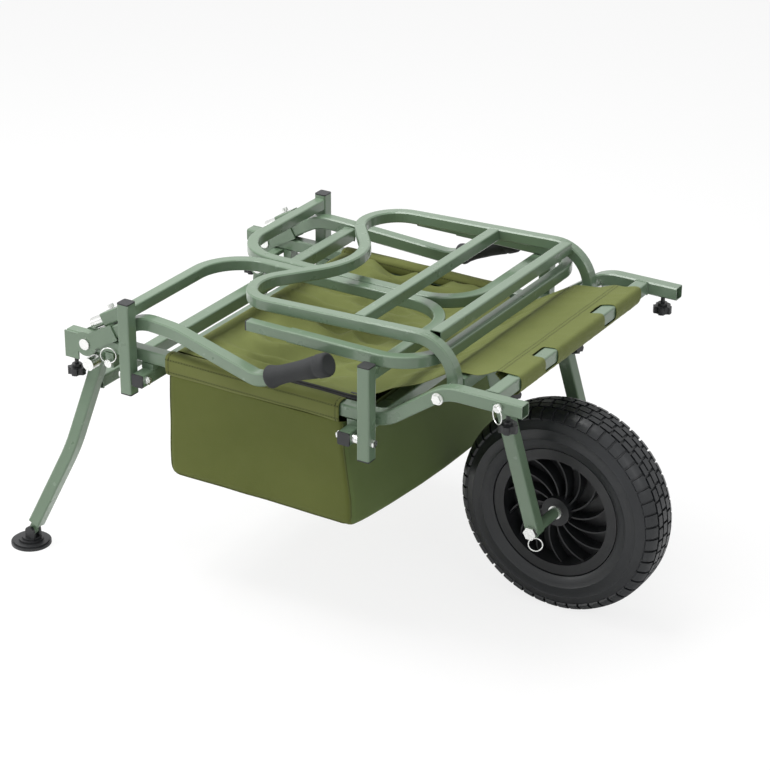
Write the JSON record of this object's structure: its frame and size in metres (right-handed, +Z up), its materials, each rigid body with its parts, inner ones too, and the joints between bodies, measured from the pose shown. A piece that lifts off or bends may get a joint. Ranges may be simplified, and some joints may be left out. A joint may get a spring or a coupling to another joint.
{
  "type": "folded fishing trolley",
  "caption": "Folded fishing trolley with a tubular frame, one front wheel, a hanging bag, folding side frames, hinged rack, folding handles and folding legs with swivel feet.",
  "frame": {"origin": "on the ground under the middle of the trolley's length, midway between the rails", "axes": "+X forward to the wheel, +Z up, -Y to the right"},
  "size_m": [1.222, 0.78, 0.6074],
  "materials": {
    "green_paint": "satin",
    "black_plastic": "matte",
    "zinc_steel": "satin",
    "olive_cloth": "matte",
    "grip_foam": "matte",
    "tyre_rubber": "matte"
  },
  "bodies": {
    "frame": {"rail_right": "green_paint", "rail_left": "green_paint", "rear_cross_tube": "green_paint", "middle_cross_tube": "green_paint", "front_cross_tube": "green_paint", "cross_tube_caps": "black_plastic", "post_bolts": "zinc_steel", "pivot_bolts": "zinc_steel", "spacers": "zinc_steel", "fork_crossbar": "green_paint", "fork_arm_right": "green_paint", "fork_arm_left": "green_paint", "axle_sleeves": "green_paint", "axle_pin": "zinc_steel", "hinge_lugs": "green_paint", "hinge_pins": "zinc_steel", "bag": "olive_cloth", "bag_hems": "olive_cloth", "deck_cloth": "olive_cloth"},
    "rack": {"rack_loop": "green_paint", "rack_crossbars": "green_paint"},
    "side_frame_right": {"side_bow_right": "green_paint", "side_posts_right": "green_paint", "post_caps_right": "black_plastic"},
    "side_frame_left": {"side_bow_left": "green_paint", "side_posts_left": "green_paint", "post_caps_left": "black_plastic"},
    "front_bar": {"front_bar": "green_paint", "front_bar_caps": "black_plastic"},
    "handle": {"handle_arm_right": "green_paint", "handle_arm_left": "green_paint", "handle_crossbar": "green_paint", "hinge_channel_right": "green_paint", "hinge_channel_left": "green_paint", "grip_right": "grip_foam", "grip_left": "grip_foam", "lock_guides": "green_paint"},
    "handle_lock_right": {"lock_bolt_right": "zinc_steel"},
    "handle_lock_left": {"lock_bolt_left": "zinc_steel"},
    "leg_frame": {"leg_right": "green_paint", "leg_left": "green_paint", "leg_crossbar": "green_paint", "leg_ends": "green_paint"},
    "foot_right": {"foot_right": "black_plastic"},
    "foot_left": {"foot_left": "black_plastic"},
    "front_knob_right": {"front_knob_right": "black_plastic"},
    "front_knob_left": {"front_knob_left": "black_plastic"},
    "rear_knob_right": {"rear_knob_right": "black_plastic"},
    "rear_knob_left": {"rear_knob_left": "black_plastic"},
    "fork_knob_right": {"fork_knob_right": "black_plastic"},
    "fork_knob_left": {"fork_knob_left": "black_plastic"},
    "front_pin_right": {"front_pin_right": "zinc_steel"},
    "front_pin_left": {"front_pin_left": "zinc_steel"},
    "rear_pin_right": {"rear_pin_right": "zinc_steel"},
    "rear_pin_left": {"rear_pin_left": "zinc_steel"},
    "wheel": {"tyre": "tyre_rubber", "rim": "black_plastic", "rim_ribs": "black_plastic", "hub_bush": "zinc_steel"}
  },
  "joints": [
    {"name": "rack_hinge", "type": "hinge", "parent": "frame", "child": "rack", "pos_m": [0.313, 0, 0.517], "axis": [0, 1, 0], "range_deg": [0, 90]},
    {"name": "side_frame_right_hinge", "type": "hinge", "parent": "frame", "child": "side_frame_right", "pos_m": [-0.0725, -0.33, 0.409], "axis": [1, 0, 0], "range_deg": [0, 90]},
    {"name": "side_frame_left_hinge", "type": "hinge", "parent": "frame", "child": "side_frame_left", "pos_m": [-0.0725, 0.33, 0.409], "axis": [-1, 0, 0], "range_deg": [0, 90]},
    {"name": "front_bar_slide", "type": "slide", "parent": "rack", "child": "front_bar", "axis": [-1, 0, 0], "range_m": [0, 0.38]},
    {"name": "handle_fold", "type": "hinge", "parent": "frame", "child": "handle", "pos_m": [-0.445, 0, 0.439], "axis": [0, -1, 0], "range_deg": [0, 108]},
    {"name": "handle_lock_right_slide", "type": "slide", "parent": "handle", "child": "handle_lock_right", "axis": [0.8704, 0, 0.4924], "range_m": [0, 0.008]},
    {"name": "handle_lock_left_slide", "type": "slide", "parent": "handle", "child": "handle_lock_left", "axis": [0.8704, 0, 0.4924], "range_m": [0, 0.008]},
    {"name": "leg_fold", "type": "hinge", "parent": "frame", "child": "leg_frame", "pos_m": [-0.443, 0, 0.396], "axis": [0, -1, 0], "range_deg": [0, 60]},
    {"name": "foot_right_swivel", "type": "hinge", "parent": "leg_frame", "child": "foot_right", "pos_m": [-0.566, -0.351, 0.03], "axis": [0, 1, 0], "range_deg": [-15, 15]},
    {"name": "foot_left_swivel", "type": "hinge", "parent": "leg_frame", "child": "foot_left", "pos_m": [-0.566, 0.351, 0.03], "axis": [0, 1, 0], "range_deg": [-15, 15]},
    {"name": "front_knob_right_turn", "type": "hinge", "parent": "frame", "child": "front_knob_right", "pos_m": [0.444, -0.298, 0.5], "axis": [0, 0, 1], "continuous": true},
    {"name": "rear_knob_right_turn", "type": "hinge", "parent": "frame", "child": "rear_knob_right", "pos_m": [-0.483, -0.293, 0.38], "axis": [0, 0, 1], "continuous": true},
    {"name": "front_pin_right_pull", "type": "slide", "parent": "frame", "child": "front_pin_right", "axis": [0, -1, 0], "range_m": [0, 0.008]},
    {"name": "rear_pin_right_pull", "type": "slide", "parent": "frame", "child": "rear_pin_right", "axis": [0, -1, 0], "range_m": [0, 0.008]},
    {"name": "front_knob_left_turn", "type": "hinge", "parent": "frame", "child": "front_knob_left", "pos_m": [0.444, 0.298, 0.5], "axis": [0, 0, 1], "continuous": true},
    {"name": "rear_knob_left_turn", "type": "hinge", "parent": "frame", "child": "rear_knob_left", "pos_m": [-0.483, 0.293, 0.38], "axis": [0, 0, 1], "continuous": true},
    {"name": "front_pin_left_pull", "type": "slide", "parent": "frame", "child": "front_pin_left", "axis": [0, 1, 0], "range_m": [0, 0.008]},
    {"name": "rear_pin_left_pull", "type": "slide", "parent": "frame", "child": "rear_pin_left", "axis": [0, 1, 0], "range_m": [0, 0.008]},
    {"name": "fork_knob_right_turn", "type": "hinge", "parent": "frame", "child": "fork_knob_right", "pos_m": [0.36283, -0.119, 0.4673], "axis": [0.9572, 0, 0.2895], "continuous": true},
    {"name": "fork_knob_left_turn", "type": "hinge", "parent": "frame", "child": "fork_knob_left", "pos_m": [0.36283, 0.119, 0.4673], "axis": [0.9572, 0, 0.2895], "continuous": true},
    {"name": "wheel_spin", "type": "hinge", "parent": "frame", "child": "wheel", "pos_m": [0.408, 0, 0.203], "axis": [0, 1, 0], "continuous": true}
  ],
  "couplings": [
    {"joint": "side_frame_right_hinge", "follows": "rack_hinge", "ratio": 0.95},
    {"joint": "side_frame_left_hinge", "follows": "rack_hinge", "ratio": 0.95},
    {"joint": "handle_fold", "follows": "rack_hinge", "ratio": 0.2}
  ]
}
